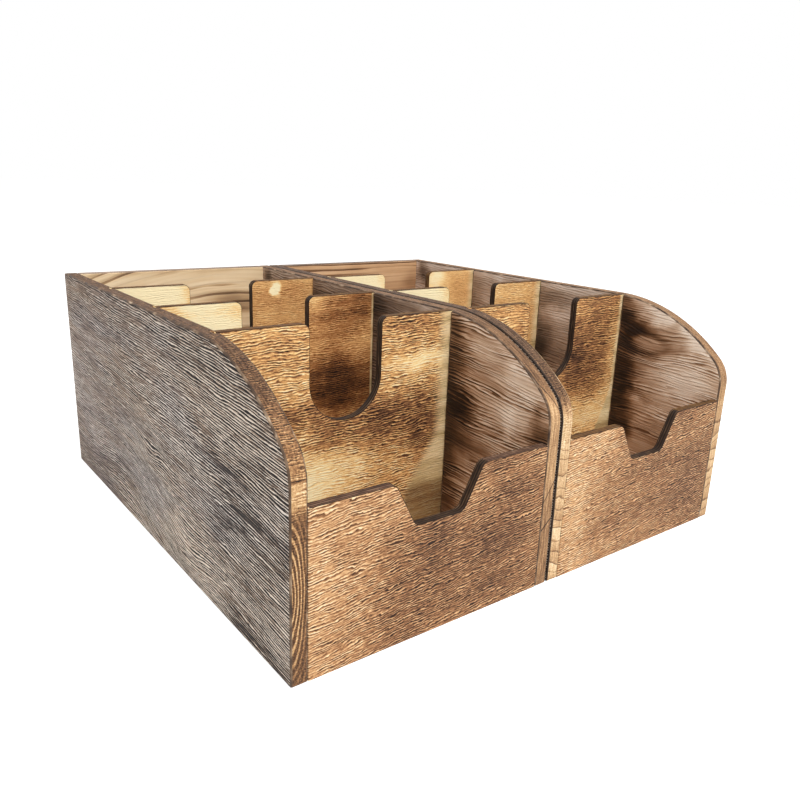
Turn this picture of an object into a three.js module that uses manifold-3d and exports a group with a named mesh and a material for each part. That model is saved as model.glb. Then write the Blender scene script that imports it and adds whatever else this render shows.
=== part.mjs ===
// A spice packet organizer: two open wooden bins that stand side by side. Each bin has two thick solid sides
// with a curved front corner, a low front with a finger notch, a back, a base and three lift-out dividers
// that run in grooves in the sides. Headless pins, hidden in the wood, hold the panels together.
// Millimetres, +X to the right, +Y to the back, +Z up, with the origin at the middle of the footprint.

import * as THREE from 'three';
import { mergeVertices } from 'three/addons/utils/BufferGeometryUtils.js';
import Module from 'manifold-3d';

const wasm = await Module();
wasm.setup();

// The bin as a whole, and the space between the two bins where they stand together.
const binWidth = 130;
const binDepth = 264;
const binHeight = 114;
const binGap = 0.75;

// Panel thicknesses: the sides and the back are solid boards, the other panels are thin laser-cut sheets.
const sideThickness = 7;
const backThickness = 7;
const frontThickness = 4;
const baseThickness = 4;
const dividerThickness = 4;

// The curved front corner of a side: where it starts along the top, its radius, and the small easing arc
// that leads it into the upright front edge.
const cornerRun = 71.5;
const cornerRadius = 96;
const cornerEaseRadius = 18;

// The front panel and its finger notch.
const frontHeight = 67;
const frontNotchTopWidth = 43;
const frontNotchBottomWidth = 23.5;
const frontNotchDepth = 18.5;
const frontNotchCornerRadius = 4;

// The dividers, their finger notches and the grooves that hold them. The front compartment has its own
// depth, and the other compartments share what is left.
const frontCompartmentDepth = 62.5;
const dividerNotchWidth = 36.5;
const dividerNotchDepth = 44.25;
const dividerNotchCornerRadius = 3.5;
const grooveDepth = 2;
const grooveClearance = 0.25;

// The headless pins: their heads lie under the outer face of a side, and their tips in the next panel.
const pinDiameter = 1;
const pinLength = 18;
const pinHeadDepth = 1;
const pinClearance = 0.25;
const wallPinInset = 13;
const basePinInset = 34;

// How finely round shapes are drawn.
const arcDivisions = 6;
const pinFacets = 8;

// Sizes that follow from the ones above.
const innerWidth = binWidth - 2 * sideThickness;
const innerDepth = binDepth - frontThickness - backThickness;
const dividerNames = ['front_divider', 'middle_divider', 'rear_divider'];
const sharedDepth = innerDepth - frontCompartmentDepth - dividerNames.length * dividerThickness;
const rearCompartmentDepth = sharedDepth / dividerNames.length;
const dividerWidth = innerWidth + 2 * (grooveDepth - grooveClearance);
const dividerHeight = binHeight - baseThickness;

function dividerFrontFace(index) {
  const first = frontThickness + frontCompartmentDepth;
  return first + index * (dividerThickness + rearCompartmentDepth);
}

const materials = {
  side: new THREE.MeshStandardMaterial({ color: 0x6e5a4b, roughness: 0.75, metalness: 0 }),
  front: new THREE.MeshStandardMaterial({ color: 0x9a6b43, roughness: 0.7, metalness: 0 }),
  divider: new THREE.MeshStandardMaterial({ color: 0xb88a55, roughness: 0.7, metalness: 0 }),
  back: new THREE.MeshStandardMaterial({ color: 0x8f7d69, roughness: 0.75, metalness: 0 }),
  base: new THREE.MeshStandardMaterial({ color: 0x84664a, roughness: 0.75, metalness: 0 }),
  pin: new THREE.MeshStandardMaterial({ color: 0xa8a9ad, roughness: 0.35, metalness: 1 }),
};

// Two ways to stand an extruded outline upright: along the depth, with its thickness towards +X, and across
// the width, with its thickness towards -Y.
const alongDepth = new THREE.Matrix4().set(0, 0, 1, 0, 1, 0, 0, 0, 0, 1, 0, 0, 0, 0, 0, 1);
const acrossWidth = new THREE.Matrix4().set(1, 0, 0, 0, 0, 0, -1, 0, 0, 1, 0, 0, 0, 0, 0, 1);
const lyingAlongX = new THREE.Matrix4().set(0, 1, 0, 0, 0, 0, 1, 0, 1, 0, 0, 0, 0, 0, 0, 1);

function toSolid(geometry) {
  geometry.deleteAttribute('normal');
  geometry.deleteAttribute('uv');
  const merged = mergeVertices(geometry);
  const vertProperties = Float32Array.from(merged.attributes.position.array);
  const triVerts = Uint32Array.from(merged.index.array);
  return new wasm.Manifold(new wasm.Mesh({ numProp: 3, vertProperties, triVerts }));
}

function toMesh(name, solid, material) {
  const { vertProperties, triVerts } = solid.getMesh();
  const geometry = new THREE.BufferGeometry();
  geometry.setAttribute('position', new THREE.BufferAttribute(vertProperties, 3));
  geometry.setIndex(new THREE.BufferAttribute(triVerts, 1));
  geometry.computeVertexNormals();
  const mesh = new THREE.Mesh(geometry, material);
  mesh.name = name;
  return mesh;
}

// A box between two corners.
function block(low, high) {
  const size = high.map((value, axis) => value - low[axis]);
  const geometry = new THREE.BoxGeometry(...size);
  geometry.translate(...low.map((value, axis) => value + size[axis] / 2));
  return toSolid(geometry);
}

// A rod along X between two places, centred on a height and a depth.
function rod(xStart, xEnd, y, z, radius) {
  const geometry = new THREE.CylinderGeometry(radius, radius, xEnd - xStart, pinFacets);
  geometry.applyMatrix4(lyingAlongX);
  geometry.translate((xStart + xEnd) / 2, y, z);
  return toSolid(geometry);
}

function upright(shape, thickness, standing) {
  const geometry = new THREE.ExtrudeGeometry(shape, {
    depth: thickness,
    bevelEnabled: false,
    curveSegments: arcDivisions,
  });
  geometry.applyMatrix4(standing);
  return geometry;
}

// A closed outline through corner points, each rounded by the radius it carries.
function roundedOutline(corners) {
  const shape = new THREE.Shape();
  corners.forEach(({ at, radius }, index) => {
    const before = corners.at(index - 1).at;
    const after = corners[(index + 1) % corners.length].at;
    const draw = (point) => (index === 0 ? shape.moveTo(point.x, point.y) : shape.lineTo(point.x, point.y));
    if (radius === 0) {
      draw(at);
      return;
    }
    const inward = before.clone().sub(at).normalize();
    const outward = after.clone().sub(at).normalize();
    const halfAngle = Math.acos(inward.dot(outward)) / 2;
    const tangentLength = radius / Math.tan(halfAngle);
    const start = at.clone().addScaledVector(inward, tangentLength);
    const end = at.clone().addScaledVector(outward, tangentLength);
    const bisector = inward.clone().add(outward).normalize();
    const centre = at.clone().addScaledVector(bisector, radius / Math.sin(halfAngle));
    const clockwise = inward.cross(outward) > 0;
    draw(start);
    shape.absarc(centre.x, centre.y, radius, start.sub(centre).angle(), end.sub(centre).angle(), clockwise);
  });
  return shape;
}

// The outline of an upright panel with a finger notch in the middle of its top edge.
function notchedOutline(width, height, notch) {
  const corner = (x, y, radius = 0) => ({ at: new THREE.Vector2(x, y), radius });
  const notchFloor = height - notch.depth;
  return roundedOutline([
    corner(-width / 2, 0),
    corner(width / 2, 0),
    corner(width / 2, height),
    corner(notch.topWidth / 2, height, notch.topRadius),
    corner(notch.bottomWidth / 2, notchFloor, notch.bottomRadius),
    corner(-notch.bottomWidth / 2, notchFloor, notch.bottomRadius),
    corner(-notch.topWidth / 2, height, notch.topRadius),
    corner(-width / 2, height),
  ]);
}

// The outline of a side, seen along X with its front edge at zero: straight up the front, round the easing
// arc and the large corner arc, along the top and down the back.
function sideOutline() {
  const cornerCentre = new THREE.Vector2(cornerRun, binHeight - cornerRadius);
  const easeReach = cornerRadius - cornerEaseRadius;
  const easeRise = Math.sqrt(easeReach ** 2 - (cornerRun - cornerEaseRadius) ** 2);
  const easeCentre = new THREE.Vector2(cornerEaseRadius, cornerCentre.y + easeRise);
  const joinAngle = easeCentre.clone().sub(cornerCentre).angle();
  const shape = new THREE.Shape();
  shape.moveTo(0, 0);
  shape.lineTo(0, easeCentre.y);
  shape.absarc(easeCentre.x, easeCentre.y, cornerEaseRadius, Math.PI, joinAngle, true);
  shape.absarc(cornerCentre.x, cornerCentre.y, cornerRadius, joinAngle, Math.PI / 2, true);
  shape.lineTo(binDepth, binHeight);
  shape.lineTo(binDepth, 0);
  return shape;
}

// Where the pins go through a side, and the panel that each one enters.
const baseMiddle = frontThickness + innerDepth / 2;
const backMiddle = binDepth - backThickness / 2;
const pinPlaces = [
  { name: 'front_pin_low', into: 'front', y: frontThickness / 2, z: wallPinInset },
  { name: 'front_pin_high', into: 'front', y: frontThickness / 2, z: frontHeight - wallPinInset },
  { name: 'back_pin_low', into: 'back', y: backMiddle, z: wallPinInset },
  { name: 'back_pin_high', into: 'back', y: backMiddle, z: binHeight - wallPinInset },
  { name: 'base_pin_front', into: 'base', y: frontThickness + basePinInset, z: baseThickness / 2 },
  { name: 'base_pin_middle', into: 'base', y: baseMiddle, z: baseThickness / 2 },
  { name: 'base_pin_rear', into: 'base', y: binDepth - backThickness - basePinInset, z: baseThickness / 2 },
];

// The pins of both sides of a bin, each with the bore that it lies in.
function makePins() {
  const pins = [];
  for (const [side, sign] of [['left', -1], ['right', 1]]) {
    const head = sign * (binWidth / 2 - pinHeadDepth);
    const tip = head - sign * pinLength;
    const xStart = Math.min(head, tip);
    const xEnd = Math.max(head, tip);
    for (const { name, into, y, z } of pinPlaces) {
      const radius = pinDiameter / 2;
      pins.push({
        name: `${side}_${name}`,
        enters: [`${side}_side`, into],
        solid: rod(xStart, xEnd, y, z, radius),
        bore: rod(xStart - pinClearance, xEnd + pinClearance, y, z, radius + pinClearance),
      });
    }
  }
  return pins;
}

// A side is cut by the grooves of the dividers, which are open at the top and stop on the base.
function makeSide(sign) {
  const geometry = upright(sideOutline(), sideThickness, alongDepth);
  geometry.translate(sign > 0 ? innerWidth / 2 : -binWidth / 2, 0, 0);
  const grooveEnd = innerWidth / 2 + grooveDepth;
  return dividerNames.reduce((side, _, index) => {
    const face = dividerFrontFace(index);
    const grooves = block(
      [-grooveEnd, face - grooveClearance, baseThickness],
      [grooveEnd, face + dividerThickness + grooveClearance, binHeight + grooveDepth],
    );
    return side.subtract(grooves);
  }, toSolid(geometry));
}

function makeFront() {
  const outline = notchedOutline(innerWidth, frontHeight, {
    topWidth: frontNotchTopWidth,
    bottomWidth: frontNotchBottomWidth,
    depth: frontNotchDepth,
    topRadius: frontNotchCornerRadius,
    bottomRadius: frontNotchCornerRadius,
  });
  return toSolid(upright(outline, frontThickness, acrossWidth).translate(0, frontThickness, 0));
}

function makeDivider(index) {
  const outline = notchedOutline(dividerWidth, dividerHeight, {
    topWidth: dividerNotchWidth,
    bottomWidth: dividerNotchWidth,
    depth: dividerNotchDepth,
    topRadius: dividerNotchCornerRadius,
    bottomRadius: dividerNotchWidth / 2,
  });
  const backFace = dividerFrontFace(index) + dividerThickness;
  return toSolid(upright(outline, dividerThickness, acrossWidth).translate(0, backFace, baseThickness));
}

function makeBack() {
  return block([-innerWidth / 2, binDepth - backThickness, 0], [innerWidth / 2, binDepth, binHeight]);
}

function makeBase() {
  const backEdge = binDepth - backThickness;
  return block([-innerWidth / 2, frontThickness, 0], [innerWidth / 2, backEdge, baseThickness]);
}

// One bin, with its front face at zero depth and its middle at zero width.
function makeBin(binName) {
  const bin = new THREE.Group();
  const pins = makePins();
  const panels = [
    { name: 'left_side', solid: makeSide(-1), material: materials.side },
    { name: 'right_side', solid: makeSide(1), material: materials.side },
    { name: 'front', solid: makeFront(), material: materials.front },
    { name: 'back', solid: makeBack(), material: materials.back },
    { name: 'base', solid: makeBase(), material: materials.base },
  ];
  for (const { name, solid, material } of panels) {
    const bores = pins.filter((pin) => pin.enters.includes(name)).map((pin) => pin.bore);
    const bored = bores.reduce((panel, bore) => panel.subtract(bore), solid);
    bin.add(toMesh(`${binName}_${name}`, bored, material));
  }
  dividerNames.forEach((name, index) => {
    bin.add(toMesh(`${binName}_${name}`, makeDivider(index), materials.divider));
  });
  for (const { name, solid } of pins) {
    bin.add(toMesh(`${binName}_${name}`, solid, materials.pin));
  }
  return bin;
}

const organizer = new THREE.Group();
for (const [name, sign] of [['left_bin', -1], ['right_bin', 1]]) {
  const bin = makeBin(name);
  bin.position.set((sign * (binWidth + binGap)) / 2, -binDepth / 2, 0);
  organizer.add(bin);
}

export default organizer;
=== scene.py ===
# %% [markdown]
# # Two torched wooden bins for spice packets
# The object is a pair of open wooden bins that stand side by side. Each has two thick side boards with a
# big curved front corner, a thin front with a finger notch, a back, a base, and three thin dividers.
# The CAD frame already holds every panel at its real size. This lesson models each panel again with softer
# edges and then gives it the grain and the scorch marks that the torch left on the real wood.
# Everything is deselected after the load, because an operator acts on all that is selected.

# %% load the frame
import math
from types import SimpleNamespace

import bpy
from mathutils import Matrix, Vector


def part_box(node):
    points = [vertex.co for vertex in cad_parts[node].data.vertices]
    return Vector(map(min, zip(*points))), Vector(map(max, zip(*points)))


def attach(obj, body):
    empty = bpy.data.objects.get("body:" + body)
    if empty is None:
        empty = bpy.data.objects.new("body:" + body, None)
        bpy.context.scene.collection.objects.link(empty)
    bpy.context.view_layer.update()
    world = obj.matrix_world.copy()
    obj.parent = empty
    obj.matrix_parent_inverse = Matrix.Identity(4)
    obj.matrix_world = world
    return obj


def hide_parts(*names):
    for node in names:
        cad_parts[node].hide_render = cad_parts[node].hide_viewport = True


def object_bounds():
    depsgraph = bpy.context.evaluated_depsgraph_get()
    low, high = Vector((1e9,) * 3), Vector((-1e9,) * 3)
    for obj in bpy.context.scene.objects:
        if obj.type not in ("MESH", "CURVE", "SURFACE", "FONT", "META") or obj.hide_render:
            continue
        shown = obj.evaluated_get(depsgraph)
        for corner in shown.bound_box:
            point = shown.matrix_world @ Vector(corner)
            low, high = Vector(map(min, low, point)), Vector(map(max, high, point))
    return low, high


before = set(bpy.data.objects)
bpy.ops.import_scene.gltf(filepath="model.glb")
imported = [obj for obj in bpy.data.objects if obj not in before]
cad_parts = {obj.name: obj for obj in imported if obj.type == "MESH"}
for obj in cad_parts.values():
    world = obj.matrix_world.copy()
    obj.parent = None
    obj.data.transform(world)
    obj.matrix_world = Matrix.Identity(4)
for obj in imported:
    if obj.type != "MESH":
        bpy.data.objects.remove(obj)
bpy.ops.object.select_all(action="DESELECT")
cad_low, cad_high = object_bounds()
scene = bpy.context.scene
scene.view_settings.view_transform = "Standard"

# %% [markdown]
# ## Camera
# The picture was taken from the front left corner, a little above the rim, with the camera slightly tilted.
# A camera could be aimed with a constraint, but a tilt is easier to write down as three turns: one round the
# line of sight, one up from the floor and one round the upright axis. The lens comes from a fit to the bins'
# edges.

# %% camera at the viewing angle of the picture
IMAGE_PIXELS = 800
FOCAL_PIXELS = 741.7
CAMERA_PLACE = Vector((-0.2376, -0.3266, 0.1705))
CAMERA_TURN = math.radians(-37.737)
CAMERA_RISE = math.radians(90 - 16.279)
CAMERA_TILT = math.radians(2.122)
NEAREST_SEEN = 0.01

camera_data = bpy.data.cameras.new("camera")
camera_data.sensor_fit = "HORIZONTAL"
camera_data.lens = camera_data.sensor_width * FOCAL_PIXELS / IMAGE_PIXELS
camera_data.clip_start = NEAREST_SEEN
camera = bpy.data.objects.new("camera", camera_data)
scene.collection.objects.link(camera)
stand = Matrix.Translation(CAMERA_PLACE)
for angle, axis in ((CAMERA_TURN, "Z"), (CAMERA_RISE, "X"), (CAMERA_TILT, "Z")):
    stand = stand @ Matrix.Rotation(angle, 4, axis)
camera.matrix_world = stand
scene.camera = camera
print("lens in millimetres:", round(camera_data.lens, 2))

# %% [markdown]
# ## Short words for node trees
# Every finish below is a node tree. Written out in full, each node takes four or five lines, so this small
# class gives a material short words for them: add a node, do a sum, make a noise, pick a colour.
# A value that is a socket becomes a link, and any other value is typed into the socket.

# %% a material with short words
def shade(hex_code):
    """A colour picked on screen, such as c8a070, as the linear colour that Blender works with."""
    channels = [int(hex_code[i:i + 2], 16) / 255 for i in (0, 2, 4)]
    linear = [c / 12.92 if c <= 0.04045 else ((c + 0.055) / 1.055) ** 2.4 for c in channels]
    return (*linear, 1.0)


def stops(places, hex_codes):
    """The stops of a colour ramp: their places from 0 to 1 and a colour for each."""
    return list(zip(places, hex_codes.split()))


SHEEN = 0.25
COLOUR_A, COLOUR_B, COLOUR_RESULT = 6, 7, 2


class Finish:
    """One material, and the words that add nodes to it."""

    def __init__(self, name):
        self.material = bpy.data.materials.new(name)
        self.material.use_nodes = True
        self.tree = self.material.node_tree
        self.shader = self.tree.nodes["Principled BSDF"]
        self.shader.inputs["Specular IOR Level"].default_value = SHEEN
        self.place = self.add("ShaderNodeTexCoord").outputs["Object"]

    def feed(self, socket, value):
        if isinstance(value, bpy.types.NodeSocket):
            self.tree.links.new(value, socket)
        elif value is not None:
            socket.default_value = value

    def add(self, kind, *values, **settings):
        node = self.tree.nodes.new(kind)
        for key, value in settings.items():
            setattr(node, key, value)
        for socket, value in zip(node.inputs, values):
            self.feed(socket, value)
        return node

    def sum(self, operation, a, b=None):
        return self.add("ShaderNodeMath", a, b, operation=operation).outputs[0]

    def total(self, value, *others):
        for other in others:
            value = self.sum("ADD", value, other)
        return value

    def times(self, value, *others):
        for other in others:
            value = self.sum("MULTIPLY", value, other)
        return value

    def less(self, a, b):
        return self.sum("SUBTRACT", a, b)

    def vector(self, operation, a, b=None):
        node = self.add("ShaderNodeVectorMath", a, b, operation=operation)
        return node.outputs["Value" if operation == "LENGTH" else "Vector"]

    def noise(self, place, detail=2.0, roughness=0.5, output="Fac"):
        node = self.add("ShaderNodeTexNoise", place)
        for word, value in (("Scale", 1.0), ("Detail", detail), ("Roughness", roughness)):
            node.inputs[word].default_value = value
        return node.outputs[output]

    def cloud(self, *counts, **words):
        """Noise with so many features in a metre, one count for all axes or one for each."""
        scale = counts if len(counts) == 3 else counts * 3
        return self.noise(self.vector("MULTIPLY", self.place, scale), **words)

    def soft_step(self, value, start, end, low=0.0, high=1.0):
        node = self.add("ShaderNodeMapRange", value, start, end, low, high)
        node.interpolation_type = "SMOOTHSTEP"
        return node.outputs[0]

    def swing(self, value, amount):
        """Turns a noise from 0 to 1 into a swing of that amount to either side of nought."""
        return self.times(self.less(value, 0.5), 2 * amount)

    def ramp(self, value, stops):
        node = self.add("ShaderNodeValToRGB", value)
        marks = node.color_ramp.elements
        while len(marks) < len(stops):
            marks.new(1.0)
        for mark, (position, hex_code) in zip(marks, stops):
            mark.position = position
            mark.color = shade(hex_code)
        return node.outputs["Color"]

    def mix(self, amount, a, b):
        node = self.add("ShaderNodeMix", data_type="RGBA")
        for socket, value in (("Factor", amount), (COLOUR_A, a), (COLOUR_B, b)):
            self.feed(node.inputs[socket], value)
        return node.outputs[COLOUR_RESULT]

    def paint(self, colour, roughness, height, relief):
        """Joins the colour, the roughness and the relief, in metres, to the shader."""
        bump = self.add("ShaderNodeBump")
        bump.inputs["Distance"].default_value = relief
        self.feed(bump.inputs["Height"], height)
        inputs = {"Base Color": colour, "Roughness": roughness, "Normal": bump.outputs["Normal"]}
        for word, value in inputs.items():
            self.feed(self.shader.inputs[word], value)
        return self.material


print("a finish has these words:", [w for w in vars(Finish) if not w.startswith("_")])

# %% [markdown]
# ## Floor and studio light
# The picture has a white ground that shows almost no shadow. More light would only bleach the wood, so the
# white comes from Light Path instead: rays from the camera, and mirrored ones, see a white world, while all
# other rays get a plain level of soft light. The floor adds a little glow of its own for the camera and
# keeps a faint shadow of the bins.

# %% white world with a plain level of light
WORLD_LIGHT = 0.44
WORLD_TINT = (1.0, 0.99, 0.97, 1.0)
SEEN_WHITE = (1.0, 1.0, 1.0, 1.0)


def sort_rays(tree, plain, seen, output):
    """Rays from the camera, a mirror or a glass get the seen shader, and all others the plain one."""
    path = tree.nodes.new("ShaderNodeLightPath")
    direct = path.outputs["Is Camera Ray"]
    for word in ("Is Glossy Ray", "Is Transmission Ray"):
        either = tree.nodes.new("ShaderNodeMath")
        either.operation = "MAXIMUM"
        tree.links.new(direct, either.inputs[0])
        tree.links.new(path.outputs[word], either.inputs[1])
        direct = either.outputs[0]
    which = tree.nodes.new("ShaderNodeMixShader")
    for socket, value in zip(which.inputs, (direct, plain.outputs[0], seen.outputs[0])):
        tree.links.new(value, socket)
    tree.links.new(which.outputs[0], tree.nodes[output].inputs["Surface"])


world = bpy.data.worlds.new("studio")
scene.world = world
world.use_nodes = True
sky = world.node_tree
plain_light = sky.nodes["Background"]
plain_light.inputs["Color"].default_value = WORLD_TINT
plain_light.inputs["Strength"].default_value = WORLD_LIGHT
white_ground = sky.nodes.new("ShaderNodeBackground")
white_ground.inputs["Color"].default_value = SEEN_WHITE
sort_rays(sky, plain_light, white_ground, "World Output")
print("level of the world's light:", WORLD_LIGHT)

# %% floor
FLOOR_SIZE = 30.0
FLOOR_DROP = 0.0002
FLOOR_COLOUR = (0.80, 0.80, 0.78, 1.0)
SHADOW_COLOUR = (0.80, 0.80, 0.80, 1.0)
FLOOR_GLOW = 0.66

bpy.ops.mesh.primitive_plane_add(size=FLOOR_SIZE, location=(0, 0, cad_low.z - FLOOR_DROP))
floor = bpy.context.object
floor.name = "floor"
matt = Finish("pale_floor")
for word, value in (("Base Color", FLOOR_COLOUR), ("Roughness", 1.0), ("Specular IOR Level", 0.0)):
    matt.shader.inputs[word].default_value = value
shadow_side = matt.add("ShaderNodeBsdfDiffuse", SHADOW_COLOUR)
glow = matt.add("ShaderNodeEmission", SEEN_WHITE, FLOOR_GLOW)
shown = matt.add("ShaderNodeAddShader", shadow_side.outputs[0], glow.outputs[0])
sort_rays(matt.tree, matt.shader, shown, "Material Output")
floor.data.materials.append(matt.material)
print("floor at height", round(floor.location.z, 4))

# %% soft lamps
def soft_lamp(name, place, aim, size, power):
    """A square lamp that faces a point on the bins."""
    data = bpy.data.lights.new(name, "AREA")
    data.size = size
    data.energy = power
    lamp = bpy.data.objects.new(name, data)
    scene.collection.objects.link(lamp)
    lamp.location = place
    lamp.rotation_mode = "QUATERNION"
    lamp.rotation_quaternion = (Vector(aim) - Vector(place)).to_track_quat("-Z", "Y")
    return lamp


soft_lamp("key_lamp", (-0.30, -1.15, 1.15), (0, -0.05, 0.05), size=0.9, power=17.0)
soft_lamp("side_lamp", (1.10, -0.70, 0.80), (0, -0.05, 0.05), size=0.9, power=3.0)
soft_lamp("top_lamp", (-0.20, -0.40, 1.5), (0, 0, 0.05), size=1.2, power=9.0)

# %% [markdown]
# ## Drawing an outline with one point
# Side boards, fronts and dividers are all flat sheets cut to an outline of straight lines and arcs. The
# outline could be cut from a block with other blocks, but drawing it is closer to how a saw or a laser makes
# it. A plane is collapsed into one point. Extruding the point draws a straight line, and spinning it round a
# centre draws an arc. The closed outline is filled and then extruded by the thickness of the sheet.

# %% the drawing words
WELD = 1e-6
SHORTEST_LINE = 1e-5
ARC_STEP = math.radians(2.5)


def deselect():
    """Lets go of all objects, because an operator acts on everything that is selected."""
    bpy.ops.object.select_all(action="DESELECT")


def put_down_point(name, place):
    """Adds a plane and merges it into a single vertex at that place."""
    deselect()
    bpy.ops.mesh.primitive_plane_add(size=0.01, location=place)
    piece = bpy.context.object
    piece.name = name
    piece.data.name = name
    bpy.ops.object.transform_apply()
    bpy.ops.object.mode_set(mode="EDIT")
    bpy.ops.mesh.select_mode(type="VERT")
    bpy.ops.mesh.select_all(action="SELECT")
    bpy.ops.mesh.merge(type="CENTER")
    return piece


def draw_outline(name, start, path, flat_to_space, axis, thickness):
    """Draws the path from the start, closes it, fills it and gives it its thickness."""
    piece = put_down_point(name, flat_to_space(start))
    pen = start
    for centre, goal in path:
        if centre is not None:
            a, b = pen - centre, goal - centre
            turn = math.atan2(a.x * b.y - a.y * b.x, a.dot(b))
            steps = max(2, math.ceil(abs(turn) / ARC_STEP))
            bpy.ops.mesh.spin(steps=steps, angle=-turn, center=flat_to_space(centre), axis=axis)
        elif (goal - pen).length > SHORTEST_LINE:
            move = flat_to_space(goal) - flat_to_space(pen)
            bpy.ops.mesh.extrude_vertices_move(TRANSFORM_OT_translate={"value": move})
        pen = goal
    bpy.ops.mesh.select_all(action="SELECT")
    bpy.ops.mesh.remove_doubles(threshold=WELD)
    bpy.ops.mesh.edge_face_add()
    bpy.ops.mesh.extrude_region_move(TRANSFORM_OT_translate={"value": thickness})
    bpy.ops.mesh.select_all(action="SELECT")
    bpy.ops.mesh.normals_make_consistent()
    bpy.ops.object.mode_set(mode="OBJECT")
    return piece


print("an arc is drawn in steps of", round(math.degrees(ARC_STEP), 2), "degrees or less")

# %% rounded corners on an outline
def rounded_path(corners):
    """Turns corners, each a point and a radius, into a start and a path of lines and arcs."""
    path = []
    count = len(corners)
    for i, (corner, radius) in enumerate(corners):
        if radius == 0:
            path.append((None, corner))
            continue
        back = (corners[i - 1][0] - corner).normalized()
        on = (corners[(i + 1) % count][0] - corner).normalized()
        half = back.angle(on) / 2
        run = radius / math.tan(half)
        centre = corner + (back + on).normalized() * (radius / math.sin(half))
        path.append((None, corner + back * run))
        path.append((centre, corner + on * run))
    start = corners[0][0]
    return start, path[1:] + [(None, start)]


print("a rounded corner takes a straight line up to its arc, and then the arc")

# %% softened edges
FACET_ANGLE = math.radians(20)
SHARP_ANGLE = math.radians(40)


def apply_modifier(piece, kind, **settings):
    """Adds a modifier with these settings and applies it at once."""
    deselect()
    piece.select_set(True)
    bpy.context.view_layer.objects.active = piece
    modifier = piece.modifiers.new(kind.lower(), kind)
    for key, value in settings.items():
        setattr(modifier, key, value)
    bpy.ops.object.modifier_apply(modifier=modifier.name)


def soften_edges(piece, width):
    """Rounds the sharp edges over by that width and leaves the flat faces flat."""
    apply_modifier(piece, "BEVEL", width=width, segments=2, limit_method="ANGLE",
                   angle_limit=SHARP_ANGLE)
    bpy.ops.object.shade_smooth_by_angle(angle=FACET_ANGLE)


def join_to_frame(piece, body, node):
    """The piece moves with its body and stands in for the CAD node, which is hidden."""
    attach(piece, body)
    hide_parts(node)
    return piece


print("faces that meet at less than", round(math.degrees(FACET_ANGLE)), "degrees are shaded smooth")

# %% [markdown]
# ## Side boards
# Each side is a solid board, 7 mm thick. Its top front corner is one sweep of a large radius, eased by a
# smaller radius where it meets the upright front edge. The dividers stand in three shallow grooves on the
# inner face. The outline is drawn in the plane of the board, and the grooves are cut with a Boolean, because
# a router would cut them in the same way: one straight slot at a time.

# %% outline of a side board
CORNER_RUN = 0.0715
CORNER_RADIUS = 0.096
EASE_RADIUS = 0.018
SIDE_EDGE = 0.0007


def side_outline(low, high):
    """The start and the path of a side board, in depth and height."""
    front, top = low.y, high.z
    big = Vector((front + CORNER_RUN, top - CORNER_RADIUS))
    ease_x = front + EASE_RADIUS
    gap = CORNER_RADIUS - EASE_RADIUS
    ease = Vector((ease_x, big.y + math.sqrt(gap ** 2 - (big.x - ease_x) ** 2)))
    meet = big + (ease - big).normalized() * CORNER_RADIUS
    start = Vector((front, low.z))
    return start, [
        (None, Vector((front, ease.y))), (ease, meet), (big, Vector((big.x, top))),
        (None, Vector((high.y, top))), (None, Vector((high.y, low.z))), (None, start),
    ]


low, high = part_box("left_bin_left_side")
print("a side board has", len(side_outline(low, high)[1]), "lines and arcs in its outline")

# %% grooves for the dividers
BINS = ("left_bin", "right_bin")
DIVIDERS = ("front_divider", "middle_divider", "rear_divider")
GROOVE_PLAY = 0.00025
PAST_TOP = 0.01


def add_block(low, high):
    """A cube scaled to this box, with its size and place kept in its mesh."""
    deselect()
    bpy.ops.mesh.primitive_cube_add(size=1, location=(low + high) / 2, scale=high - low)
    bpy.ops.object.transform_apply()
    return bpy.context.object


def cut_grooves(board, bin_name, top):
    """Cuts a slot, open at the top, for each divider whose end reaches into this board."""
    for divider in DIVIDERS:
        low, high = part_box(f"{bin_name}_{divider}")
        slot_low = Vector((low.x - GROOVE_PLAY, low.y - GROOVE_PLAY, low.z))
        slot_high = Vector((high.x + GROOVE_PLAY, high.y + GROOVE_PLAY, top + PAST_TOP))
        cutter = add_block(slot_low, slot_high)
        apply_modifier(board, "BOOLEAN", object=cutter, operation="DIFFERENCE", solver="EXACT")
        bpy.data.objects.remove(cutter)


side_boards = {}
for bin_name in BINS:
    for side in ("left_side", "right_side"):
        node = f"{bin_name}_{side}"
        low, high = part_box(node)
        start, path = side_outline(low, high)
        board = draw_outline(f"{node}_board", start, path, lambda p: Vector((low.x, p.x, p.y)),
                             (1, 0, 0), (high.x - low.x, 0, 0))
        cut_grooves(board, bin_name, high.z)
        soften_edges(board, SIDE_EDGE)
        side_boards[node] = join_to_frame(board, bin_name, node)
        print(board.name, "has", len(board.data.polygons), "faces")

# %% [markdown]
# ## Fronts and dividers
# These are thin sheets, cut by a laser, which leaves their edges dark and almost sharp. A front has a notch
# with slanting sides, so that a finger can reach the packets. A divider has a deep U. Both are one list of
# corners with a radius each, so one helper draws them, and a front and a divider are each drawn once for
# every place, with their own mesh.

# %% notched sheets
SHEET_EDGE = 0.00035
FRONT_NOTCH = {"top": 0.0215, "bottom": 0.01175, "depth": 0.0185, "radius": 0.004, "mouth": 0.004}
DIVIDER_NOTCH = {"top": 0.01825, "bottom": 0.01825, "depth": 0.04425, "radius": 0.01825, "mouth": 0.0035}


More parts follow.
